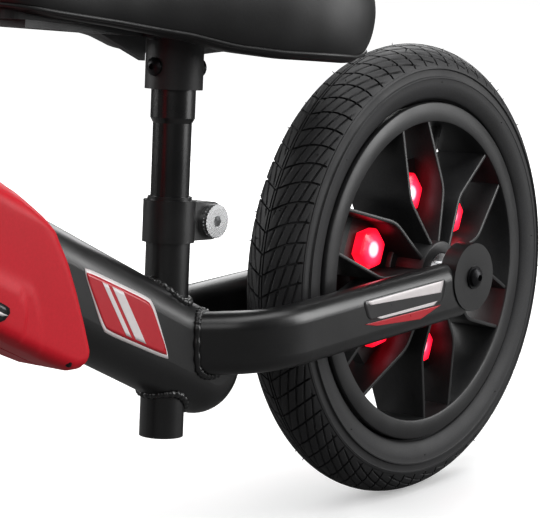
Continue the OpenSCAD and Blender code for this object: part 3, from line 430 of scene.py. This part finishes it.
def spokeMesh(turn):
    w = wheel
    points, faces = [], []
    cosT, sinT = math.cos(turn), math.sin(turn)

    def put(a, b, y):
        points.append(((a * cosT - b * sinT) * mm, y * mm, (a * sinT + b * cosT) * mm))
        return len(points) - 1

    edge = w["corner"]
    thick = w["vaneThick"]
    for side in (1, -1):
        middle = roundedPath([(a, side * (b - thick / 2), 0) for a, b in w["vane"]], 6)
        ringSize = 12
        for i, p in enumerate(middle):
            along = (middle[min(i + 1, len(middle) - 1)] - middle[max(i - 1, 0)]).normalized()
            normal = Vector((-along.y, along.x, 0)) * side
            depth = vaneDepth(p.x)
            half = thick / 2
            section = [(half, depth - edge), (half - 0.2, depth - 0.2), (half - edge, depth),
                       (-half + edge, depth), (-half + 0.2, depth - 0.2), (-half, depth - edge)]
            section += [(o, -y) for o, y in section[::-1]]
            for offset, y in section:
                q = p + normal * offset
                put(q.x, q.y, y)
        first = len(points) - ringSize * len(middle)
        body = gridFaces(len(middle), ringSize, closeColumns=True) + first
        faces += body.tolist()
        faces += [[first + k for k in range(ringSize)], [len(points) - 1 - k for k in range(ringSize)]]

    # web between the two vanes, with the lamp's hexagonal hole
    outline = [(w["vane"][0][0], w["vane"][0][1] - 1.3), (w["vane"][1][0], w["vane"][1][1] - 1.3)]
    slope = (w["vane"][2][1] - w["vane"][1][1]) / (w["vane"][2][0] - w["vane"][1][0])
    outline.append((w["webOut"], w["vane"][1][1] - 1.3 + slope * (w["webOut"] - w["vane"][1][0])))
    outline += [(a, -b) for a, b in outline[::-1]]
    count = 48
    loops = []
    hexagon = [(w["lensAt"] + w["lensRadius"] * math.cos(math.pi / 3 * k + math.pi / 2),
                w["lensRadius"] * math.sin(math.pi / 3 * k + math.pi / 2)) for k in range(6)]

    def reachTo(polygon, angle):
        best = None
        dx, dy = math.cos(angle), math.sin(angle)
        for (x0, y0), (x1, y1) in zip(polygon, polygon[1:] + polygon[:1]):
            ex, ey = x1 - x0, y1 - y0
            cross = dx * ey - dy * ex
            if abs(cross) < 1e-9:
                continue
            t = ((x0 - w["lensAt"]) * ey - y0 * ex) / cross
            s = ((x0 - w["lensAt"]) * dy - y0 * dx) / cross
            if t > 0 and -1e-6 <= s <= 1 + 1e-6 and (best is None or t < best):
                best = t
        return (w["lensAt"] + best * dx, best * dy)

    angles = [2 * math.pi * k / count + math.pi / 2 for k in range(count)]
    holeLoop = [reachTo(hexagon, a) for a in angles]
    outLoop = [reachTo(outline, a) for a in angles]
    for loop, side in ((holeLoop, 1), (outLoop, 1), (outLoop, -1), (holeLoop, -1)):
        loops.append([put(a, b, side * w["webHalf"]) for a, b in loop])
    for i in range(4):
        one, two = loops[i], loops[(i + 1) % 4]
        for k in range(count):
            faces.append((one[k], one[(k + 1) % count], two[(k + 1) % count], two[k]))
    return points, faces


def wheelMesh():
    w = wheel
    points, faces = [], []

    def join(part):
        first = len(points)
        points.extend(part[0])
        faces.extend([[first + i for i in face] for face in part[1]])

    o, i, h = w["rimOuter"], w["rimInner"], w["rimHalf"]
    seat = [(125.5 - 22.5 * math.cos(t), 22.5 * math.sin(t)) for t in np.radians(np.linspace(-49, 49, 15))]
    join(lathe([(i + 1.6, h), (i + 0.5, h - 0.4), (i, h - 1.6), (i - 0.25, 0), (i, -h + 1.6),
                (i + 0.5, -h + 0.4), (i + 1.6, -h), (o - 1.8, -h), (o - 0.7, -h + 0.5), (o - 0.1, -h + 1.8)] + seat
               + [(o - 0.1, h - 1.8), (o - 0.7, h - 0.5), (o - 1.8, h)]))
    r, y, b = w["hubRadius"], w["hubHalf"], w["boreRadius"]
    join(lathe([(b, y - 9), (b, y - 0.8), (b + 0.8, y), (r - 1.5, y), (r - 0.4, y - 0.4), (r, y - 1.5),
                (r + 0.6, 9), (r + 4.3, 7.6), (r + 5, 6.5), (r + 5, -6.5), (r + 4.3, -7.6), (r + 0.6, -9),
                (r, -y + 1.5), (r - 0.4, -y + 0.4), (r - 1.5, -y), (b + 0.8, -y), (b, -y + 0.8), (b, -y + 9),
                (b - 1.5, -y + 9), (b - 1.5, y - 9)], 96))
    for k in range(w["spokes"]):
        join(spokeMesh(math.radians(w["phase"] + 360 * k / w["spokes"])))
    return points, faces


mouldPoints, mouldFaces = wheelMesh()
for end, place in axles.items():
    moulding = makePiece(end + "WheelMoulding", mouldPoints, mouldFaces, materials["rim_plastic"],
                         end + "_wheel", "rim_plastic", 35, place)
    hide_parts(end + "_wheel")
print("wheel mouldings made")


# Hexagonal lamps in the spokes.

def lampMaterial():
    # red polycarbonate lit from inside: a pale hot core, deep red towards the six edges
    material, shader = newMaterial("lit red polycarbonate")
    place = addNode(material, "ShaderNodeTexCoord").outputs["Object"]
    apart = addNode(material, "ShaderNodeVectorMath", {1: (1.0, 0.0, 1.0)}, {0: place},
                    operation="MULTIPLY")
    distance = addNode(material, "ShaderNodeVectorMath", links={0: apart.outputs[0]}, operation="LENGTH")
    ramp = addNode(material, "ShaderNodeValToRGB")
    spread = addNode(material, "ShaderNodeMapRange", {"From Max": wheel["lensRadius"] * mm},
                     {"Value": distance.outputs["Value"]})
    material.node_tree.links.new(spread.outputs["Result"], ramp.inputs["Fac"])
    tones = [(0.0, "#ffe9ee"), (0.22, "#ffb3c2"), (0.42, "#ff2a48"), (0.75, "#e80f28"), (1.0, "#b00818")]
    while len(ramp.color_ramp.elements) < len(tones):
        ramp.color_ramp.elements.new(0.5)
    for element, (position, tone) in zip(ramp.color_ramp.elements, tones):
        element.position = position
        element.color = hexColor(tone)
    links = material.node_tree.links
    links.new(ramp.outputs["Color"], shader.inputs["Emission Color"])
    links.new(ramp.outputs["Color"], shader.inputs["Base Color"])
    shader.inputs["Emission Strength"].default_value = 2.4
    shader.inputs["Roughness"].default_value = 0.2
    return material


def lensMesh():
    w = wheel
    rings = [(w["lensRadius"] - 2.2, w["lensHalf"]), (w["lensRadius"] - 0.8, w["lensHalf"] - 0.5),
             (w["lensRadius"], w["lensHalf"] - 1.8), (w["lensRadius"], -w["lensHalf"] + 1.8),
             (w["lensRadius"] - 0.8, -w["lensHalf"] + 0.5), (w["lensRadius"] - 2.2, -w["lensHalf"])]
    points, faces = [(0, (w["lensHalf"] + 0.6) * mm, 0)], []
    for r, y in rings:
        for k in range(36):
            angle = 2 * math.pi * k / 36
            # distance to a hexagon's side, with its corners eased
            toSide = math.cos(math.pi / 6) / math.cos(angle % (math.pi / 3) - math.pi / 6)
            reach = r * min(toSide, 0.985)
            points.append((reach * math.cos(angle) * mm, y * mm, reach * math.sin(angle) * mm))
    for i in range(len(rings) - 1):
        for k in range(36):
            a, b = 1 + 36 * i + k, 1 + 36 * i + (k + 1) % 36
            faces.append((a, b, b + 36, a + 36))
    points.append((0, -(w["lensHalf"] + 0.6) * mm, 0))
    last = len(points) - 1
    for k in range(36):
        faces.append((0, 1 + (k + 1) % 36, 1 + k))
        faces.append((last, last - 36 + k, last - 36 + (k + 1) % 36))
    return points, faces


lampGlow = lampMaterial()
lensPoints, lensFaces = lensMesh()
for end, place in axles.items():
    for k in range(wheel["spokes"]):
        angle = math.radians(wheel["phase"] + 360 * k / wheel["spokes"])
        at = Vector(place) + Vector((math.cos(angle), 0, math.sin(angle))) * wheel["lensAt"] * mm
        # the hexagon's corners point across the spoke
        turned = [Matrix.Rotation(-angle - math.pi / 2, 3, "Y") @ Vector(p) for p in lensPoints]
        lens = makePiece("%sLens%d" % (end, k + 1), turned, lensFaces, lampGlow, end + "_wheel", "lens_plastic",
                         30, at)
        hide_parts(end + "_lenses")
print("spoke lamps made")

# The main tube as a line that the weld beads, covers and stripes follow.

tube = {"foot": (-61.0, 132.7), "slope": 27.489, "straight": 171.1, "bendRadius": 110.0, "bend": 31.0,
        "halfWidth": 19.0, "flat": 11.0, "tail": -30.0}


def tubePoint(s, v, y):
    turn = min(max((s - tube["straight"]) / tube["bendRadius"], 0), math.radians(tube["bend"]))
    past = max(s - tube["straight"] - tube["bendRadius"] * turn, 0) if turn > 0 else 0
    u = min(s, tube["straight"]) + (tube["bendRadius"] - v) * math.sin(turn) + past * math.cos(turn)
    w = v
    if turn > 0:
        w = tube["bendRadius"] - (tube["bendRadius"] - v) * math.cos(turn) + past * math.sin(turn)
    slope = math.radians(tube["slope"])
    return Vector((tube["foot"][0] + u * math.cos(slope) - w * math.sin(slope), y,
                   tube["foot"][1] + u * math.sin(slope) + w * math.cos(slope)))


def tubeGap(point):
    slope = math.radians(tube["slope"])
    x, z = point[0] - tube["foot"][0], point[2] - tube["foot"][1]
    u, v = x * math.cos(slope) + z * math.sin(slope), -x * math.sin(slope) + z * math.cos(slope)
    if u < tube["tail"]:
        v = math.hypot(u - tube["tail"], v)
    return math.hypot(point[1], max(abs(v) - tube["flat"], 0)) - tube["halfWidth"]


# Weld beads lie where a joining tube meets the main tube.

bead = {"radius": 2.3, "ripple": 0.16, "pointsPerWave": 5}


def weldBead(name, starts, direction, span):
    path = []
    for start in starts:
        near, far = 0.0, span
        if tubeGap(Vector(start)) < 0 or tubeGap(Vector(start) + direction * span) > 0:
            continue
        for _ in range(24):
            half = (near + far) / 2
            if tubeGap(Vector(start) + direction * half) > 0:
                near = half
            else:
                far = half
        path.append((Vector(start) + direction * near) * mm)
    if len(path) < 8:
        return
    waves = max(1, round(len(path) / bead["pointsPerWave"]))
    points, faces = tubeAlong(path, bead["radius"] * mm, 8, len(path) == len(starts),
                              lambda i: 1 + bead["ripple"] * math.sin(2 * math.pi * waves * i / len(path)))
    makePiece(name, points, faces, materials["frame_paint"], "frame", "frame_paint", 60)


joint = Vector((-61.0, 0, 132.7))
seatAlong = Vector((-0.0662739, 0, 0.9978015))
seatAcross = Vector((0.9978015, 0, 0.0662739))
for name, end in (("seatTubeUpperWeld", 80), ("seatTubeLowerWeld", -62)):
    starts = [joint + seatAlong * end + 13.2 * (math.cos(a) * seatAcross + math.sin(a) * Vector((0, 1, 0)))
              for a in np.linspace(0, 2 * math.pi, 120, endpoint=False)]
    weldBead(name, starts, seatAlong * (-1 if end > 0 else 1), abs(end))

stay = {"half": (10.0, 18.5), "bendEnd": (-86.3, 25.4), "heading": 50.0, "tilt": 1.909, "startZ": 140.5}
for side, name in ((1, "Left"), (-1, "Right")):
    heading, tilt = math.radians(stay["heading"]), math.radians(stay["tilt"])
    along = Vector((math.cos(heading) * math.cos(tilt), -side * math.sin(heading), -math.sin(tilt)))
    level = Vector((math.sin(heading), side * math.cos(heading), 0))
    upright = along.cross(level).normalized()
    z = stay["startZ"] - (stay["bendEnd"][0] + 295) * math.tan(tilt)
    centre = Vector((stay["bendEnd"][0], side * stay["bendEnd"][1], z)) - along * 18
    starts = []
    for a in np.linspace(0, 2 * math.pi, 130, endpoint=False):
        c, s = math.cos(a), math.sin(a)
        starts.append(centre + level * (stay["half"][0] + 0.3) * c
                      + upright * (8.5 * (1 if s > 0 else -1) * min(1, abs(s) * 3) + 10.3 * s))
    weldBead("chainstayWeld" + name, starts, along, 60)
print("weld beads made")


# Printed films, laid on a surface as thin patches.

filmGloss = (0.24, 0.38)  # lowest and highest roughness


def filmMaterial(name, tone):
    # printed vinyl film under clear lacquer: even colour, a slightly uneven gloss
    material, shader = newMaterial(name)
    place = addNode(material, "ShaderNodeTexCoord").outputs["Object"]
    grain = addNode(material, "ShaderNodeTexNoise", {"Scale": 260.0, "Detail": 2.0}, {"Vector": place})
    gloss = addNode(material, "ShaderNodeMapRange", {"To Min": filmGloss[0], "To Max": filmGloss[1]},
                    {"Value": grain.outputs["Fac"]})
    tint = addNode(material, "ShaderNodeHueSaturation", {"Color": hexColor(tone), "Saturation": 1.0})
    value = addNode(material, "ShaderNodeMapRange", {"To Min": 0.94, "To Max": 1.06},
                    {"Value": grain.outputs["Fac"]})
    links = material.node_tree.links
    links.new(value.outputs["Result"], tint.inputs["Value"])
    links.new(tint.outputs["Color"], shader.inputs["Base Color"])
    links.new(gloss.outputs["Result"], shader.inputs["Roughness"])
    shader.inputs["Coat Weight"].default_value = 0.3
    shader.inputs["Coat Roughness"].default_value = 0.15
    return material


films = {"white": filmMaterial("white printed decal film", "#e9e2e2"),
         "red": filmMaterial("red printed decal film", "#c01324"),
         "dark": filmMaterial("charcoal printed decal film", "#2b2a2b")}


def skinPatch(name, corners, surface, film, lift, cells=(28, 14), ease=0.05):
    rows, columns = cells
    points = []
    for layer in (lift, lift - 0.18):
        for i in range(columns + 1):
            for j in range(rows + 1):
                a, b = 2 * j / rows - 1, 2 * i / columns - 1
                a, b = a * (1 - ease * b ** 6), b * (1 - ease * a ** 6)
                a, b = (a + 1) / 2, (b + 1) / 2
                top = [corners[0][k] * (1 - a) + corners[1][k] * a for k in (0, 1)]
                low = [corners[3][k] * (1 - a) + corners[2][k] * a for k in (0, 1)]
                points.append(surface(*[low[k] * (1 - b) + top[k] * b for k in (0, 1)], layer) * mm)
    width, layerSize = rows + 1, (rows + 1) * (columns + 1)
    front = gridFaces(columns + 1, width)
    faces = front.tolist() + (front[:, ::-1] + layerSize).tolist()
    rim = [j for j in range(width)] + [width * i + rows for i in range(1, columns + 1)] \
        + [width * columns + j for j in range(rows - 1, -1, -1)] \
        + [width * i for i in range(columns - 1, 0, -1)]
    for k, a in enumerate(rim):
        b = rim[(k + 1) % len(rim)]
        faces.append((b, a, a + layerSize, b + layerSize))
    return makePiece(name, points, faces, film, "frame", "badge_plastic", 0)


def inset(corners, share):
    middle = [sum(c[k] for c in corners) / 4 for k in (0, 1)]
    return [tuple(middle[k] + (c[k] - middle[k]) * share[k] for k in (0, 1)) for c in corners]


# Side covers, lofted along the main tube.

cover = {"start": 78.4, "end": 306.0, "face": 24.4, "low": -42.0, "lipTop": 35.0, "topCentre": 20.0,
         "lowCorner": 7.0, "edge": 5.5, "wall": 2.6,
         "rearEdge": [(78.4, -31), (81.2, -23.6), (91.7, -12.1), (103.4, -0.1), (116.6, 12.2), (131, 22.7),
                      (141, 27.2), (150, 30), (160, 34), (168, 35)],
         "rearLow": [(78.4, -31), (79.5, -35), (82, -38.5), (88.2, -41.4), (100, -42)],
         "step": [(-42, 130), (-24.4, 134.3), (-20.3, 136.9), (-16.9, 141.6), (-15.4, 148.3)],
         "faintStep": [(-42, 113), (-24, 123), (-17.4, 128.7), (-10.7, 136.8)], "stepRise": 0.9,
         "faintRise": 0.6}


def forkClear(point):
    fromAxle = math.hypot(point.x - 295, point.z - 148)
    axis = Vector((-0.34202, 0, 0.93969))
    away = point - Vector((271.508, 0, 139.449))
    along = away.dot(axis)
    aside = (away - axis * along).length
    return fromAxle > 157.5 and not (along < 188 and aside < 69)


def eased(x):
    x = min(max(x, 0), 1)
    return x * x * (3 - 2 * x)


def coverSection(s, side):
    c = cover
    low = np.interp(s, *zip(*c["rearLow"]))
    while not forkClear(tubePoint(s, low, side * 20)) and low < 34:
        low += 0.5
    top = min(np.interp(s, *zip(*c["rearEdge"])), c["lipTop"])
    section = []
    fromRear = max(s - c["start"], 0)
    fromFront = max(c["end"] - s, 0)
    corner = min(c["lowCorner"], max((top - low) / 2, 0.3))
    lip = [(t, low) for t in np.linspace(1.0, c["face"] - corner, 5)]
    curl = [(c["face"] - corner + corner * math.sin(a), low + corner - corner * math.cos(a))
            for a in np.linspace(0, math.pi / 2, 7)[1:]]
    faceTop = max(min(c["topCentre"], top), low + corner)
    flat = [(c["face"], v) for v in np.linspace(low + corner, faceTop, 22)[1:]]
    rise = c["lipTop"] - c["topCentre"]
    stop = math.asin(min(max((top - c["topCentre"]) / rise, 0), 1)) if top > c["topCentre"] else 0
    over = [(c["face"], faceTop)] * 15
    if stop > 0:
        over = [(c["face"] * math.cos(a), c["topCentre"] + rise * math.sin(a))
                for a in np.linspace(0, min(stop, math.radians(87)), 16)[1:]]
    for y, v in lip + curl + flat + over:
        toEdge = min((top - v) * 0.72 if s < 168 else 99, fromRear * 1.2 + 0.2, fromFront)
        drop = 0
        if toEdge < c["edge"]:
            drop = c["edge"] - math.sqrt(max(c["edge"] ** 2 - (c["edge"] - toEdge) ** 2, 0))
        raised = 0
        if y > c["face"] - 3:
            if v < -10.7:
                past = s - np.interp(v, *zip(*c["faintStep"]))
                raised += c["faintRise"] * eased(past / 2) * eased((-10.7 - v) / 2)
            if v < -15.4:
                past = s - np.interp(v, *zip(*c["step"]))
                raised += c["stepRise"] * eased(past / 1.6) * eased((-15.4 - v) / 1.6)
            raised *= eased((250 - s) / 20)
        section.append((y - drop * min(1, y / 18) + raised, v))
    return section


def coverMesh(side):
    stations = list(np.arange(cover["start"], 100, 0.9)) + list(np.arange(100, 170, 1.4)) \
        + list(np.arange(170, cover["end"] - 6, 4)) + list(np.linspace(cover["end"] - 6, cover["end"], 8))
    outer, inner = [], []
    for s in stations:
        section = coverSection(s, side)
        outer.append([tubePoint(s, v, side * y) * mm for y, v in section])
        inside = []
        for y, v in section:
            yIn = max(y - cover["wall"], 0.6)
            vIn = v - cover["wall"] * (1 if v > 24 else -1 if v < -36 else v / 40)
            inside.append(tubePoint(s, vIn, side * yIn) * mm)
        inner.append(inside)
    count = len(outer[0])
    loops = [o + i[::-1] for o, i in zip(outer, inner)]
    points = [p for loop in loops for p in loop]
    faces = gridFaces(len(loops), 2 * count, closeColumns=True).tolist()
    for loop in (0, len(loops) - 1):
        first = loop * 2 * count
        for k in range(count - 1):
            faces.append((first + k, first + k + 1, first + 2 * count - 2 - k, first + 2 * count - 1 - k))
    return points, faces


for side, name in ((1, "left"), (-1, "right")):
    shell = makePiece(name + "CoverShell", *coverMesh(side), materials["cover_plastic"], "frame",
                      "cover_plastic", 50)
    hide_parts("cover_" + name)

badge = {"corners": [(146, -25.7), (186, -26.0), (190, -36.5), (150.5, -36.0)], "lift": 1.15,
         "stripe": (0.9, 0.16)}


def onBadge(side):
    def place(u, v, lift):
        return tubePoint(u, v, side * (cover["face"] + badge["lift"] + lift))
    return place


for side, name in ((1, "Left"), (-1, "Right")):
    plate = skinPatch("coverBadge" + name, badge["corners"], onBadge(side), materials["badge_plastic"], 0.8,
                      cells=(10, 4), ease=0.12)
    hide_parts("cover_badges")
    skinPatch("coverBadgeStripe" + name, inset(badge["corners"], badge["stripe"]), onBadge(side),
              films["white"], 1.0, cells=(10, 2), ease=0.0)
print("badges made")


# Stripes on the main tube and the chainstays.

def onTube(side):
    def place(u, v, lift):
        beyond = max(abs(v) - tube["flat"], 0)
        reach = tube["halfWidth"] + lift
        return tubePoint(u, v, side * math.sqrt(reach ** 2 - beyond ** 2))
    return place


panel = [(42.4, 15.8), (102, 13.3), (70.9, -13.9), (12.5, -10.8)]
for side, name in ((1, "Left"), (-1, "Right")):
    skinPatch("panelBorder" + name, panel, onTube(side), films["white"], 0.22)
    skinPatch("panelField" + name, inset(panel, (0.95, 0.86)), onTube(side), films["red"], 0.34)
    # a plain pair of slanted stripes fills the panel
    for k, (left, right) in enumerate(((0.40, 0.56), (0.62, 0.70))):
        top = [panel[0][i] * (1 - left) + panel[1][i] * left for i in (0, 1)], \
            [panel[0][i] * (1 - right) + panel[1][i] * right for i in (0, 1)]
        low = [panel[3][i] * (1 - right) + panel[2][i] * right for i in (0, 1)], \
            [panel[3][i] * (1 - left) + panel[2][i] * left for i in (0, 1)]
        stripe = [tuple(top[0]), tuple(top[1]), tuple(low[0]), tuple(low[1])]
        skinPatch("panelStripe%s%d" % (name, k + 1), inset(stripe, (1, 0.74)), onTube(side), films["white"],
                  0.46, ease=0.0)


def onStay(side):
    def place(x, z, lift):
        # across the oval's side: flat middle, round top and bottom
        beyond = max(abs(z) - 8.5, 0)
        out = 45 + math.sqrt((10 + lift) ** 2 - beyond ** 2)
        centreZ = stay["startZ"] - x * math.tan(math.radians(stay["tilt"]))
        return Vector((-295 + x, side * out, centreZ + z))
    return place


# piece name, film, lift, how far its corners are eased, and its corners along and across the chainstay
stayPatches = [("stayFieldA", "dark", 0.22, 0.05, [(30, 11.5), (118, 12), (112, -1), (34, -3)]),
               ("stayStripeWhite", "white", 0.34, 0.0, [(33, 10.8), (114, 10.8), (110, 8.4), (36, 3.6)]),
               ("stayStripeRed", "red", 0.34, 0.0, [(36, -4.4), (116, -2.6), (104, -5.4), (58, -9.6)]),
               ("stayStripeThin", "white", 0.4, 0.0, [(40, -1.2), (104, -0.4), (100, -1.8), (44, -3.2)])]
for side, name in ((1, "Left"), (-1, "Right")):
    for patch, film, lift, ease, corners in stayPatches:
        skinPatch(patch + name, corners, onStay(side), films[film], lift, ease=ease)
print("stripes made")


# Saddle pad, with a cord along its lower edge.

saddle = {"origin": (-72.631, 0, 307.814), "tilt": 5.0, "centre": -45.0,
          "halfWidth": [(-127.6, 0.1), (-126, 17), (-122, 33), (-114, 51), (-104, 63), (-90, 71), (-72, 74.5),
                        (-50, 73), (-24, 66), (6, 55), (32, 45), (60, 36.5), (90, 30.5), (120, 27), (140, 24),
                        (152, 18), (159, 10.5), (162.4, 0.1)],
          "low": [(-127.6, 12), (-110, -2), (-80, -9), (-24, -9), (6, -7), (32, -2), (78, 2.4), (118, 5),
                  (162, 9)],
          "top": [(-127.6, 40), (-95, 49), (-60, 49), (-10, 44), (40, 41), (100, 42), (140, 43), (162, 38)],
          "around": 120}


def saddlePoint(x, y, z):
    tilt = math.radians(saddle["tilt"])
    return Vector((saddle["origin"][0] + x * math.cos(tilt) - z * math.sin(tilt), y,
                   saddle["origin"][2] + x * math.sin(tilt) + z * math.cos(tilt)))


def saddleOutline():
    xs = np.array([p[0] for p in saddle["halfWidth"]])
    ws = np.array([p[1] for p in saddle["halfWidth"]])
    dense = xs[0] + (xs[-1] - xs[0]) * (1 - np.cos(np.linspace(0, math.pi, 241))) / 2
    width = np.interp(dense, xs, ws)
    kernel = np.ones(9) / 9
    width[4:-4] = np.convolve(width, kernel, "valid")
    loop = np.concatenate([np.stack([dense, width], 1), np.stack([dense[::-1], -width[::-1]], 1)])
    step = np.concatenate([[0], np.cumsum(np.hypot(*np.diff(loop, axis=0).T))])
    even = np.linspace(0, step[-1], saddle["around"], endpoint=False)
    return np.stack([np.interp(even, step, loop[:, 0]), np.interp(even, step, loop[:, 1])], 1)


def saddleMesh():
    outline = saddleOutline()
    centre = np.array([saddle["centre"], 0])
    lowX, lowZ = zip(*saddle["low"])
    topX, topZ = zip(*saddle["top"])
    rings = []
    # from the edge of the base, out under the pad, round its side and over the top
    for share, height in [(0.70, 0.10), (0.74, 0.02), (0.80, 0.0), (0.86, 0.0), (0.905, 0.02), (0.94, 0.07),
                          (0.968, 0.15), (0.987, 0.26), (0.998, 0.39), (1.0, 0.5), (0.992, 0.62), (0.97, 0.73),
                          (0.93, 0.82), (0.87, 0.89), (0.78, 0.94), (0.66, 0.97), (0.5, 0.99), (0.3, 1.0),
                          (0.12, 1.0)]:
        ringPoints = []
        for corner in outline:
            x, y = centre + (corner - centre) * share
            low, high = np.interp(x, lowX, lowZ), np.interp(x, topX, topZ)
            z = low + (high - low) * height
            crown = 1 - 0.06 * (1 - share) * math.cos(y / 20) if height > 0.9 else 1
            ringPoints.append(saddlePoint(x, y, z * crown) * mm)
        rings.append(ringPoints)
    count = len(outline)
    points = [p for ringPoints in rings for p in ringPoints]
    faces = gridFaces(len(rings), count, closeColumns=True).tolist()
    points += [saddlePoint(saddle["centre"], 0, np.interp(saddle["centre"], topX, topZ)) * mm,
               saddlePoint(saddle["centre"], 0, 11) * mm]
    last = (len(rings) - 1) * count
    faces += [(last + k, last + (k + 1) % count, len(points) - 2) for k in range(count)]
    faces += [((k + 1) % count, k, len(points) - 1) for k in range(count)]
    return points, faces, rings


padPoints, padFaces, padRings = saddleMesh()
pad = makePiece("saddleVinylPad", padPoints, padFaces, materials["saddle_vinyl"], "seat", "saddle_vinyl", 0)
softer = pad.modifiers.new("softer", "SUBSURF")
softer.levels = softer.render_levels = 1
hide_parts("saddle_pad")
seam = tubeAlong(padRings[5], 1.3 * mm, 8)
makePiece("saddleSeamCord", *seam, materials["saddle_vinyl"], "seat", "saddle_vinyl", 0)
print("saddle made")
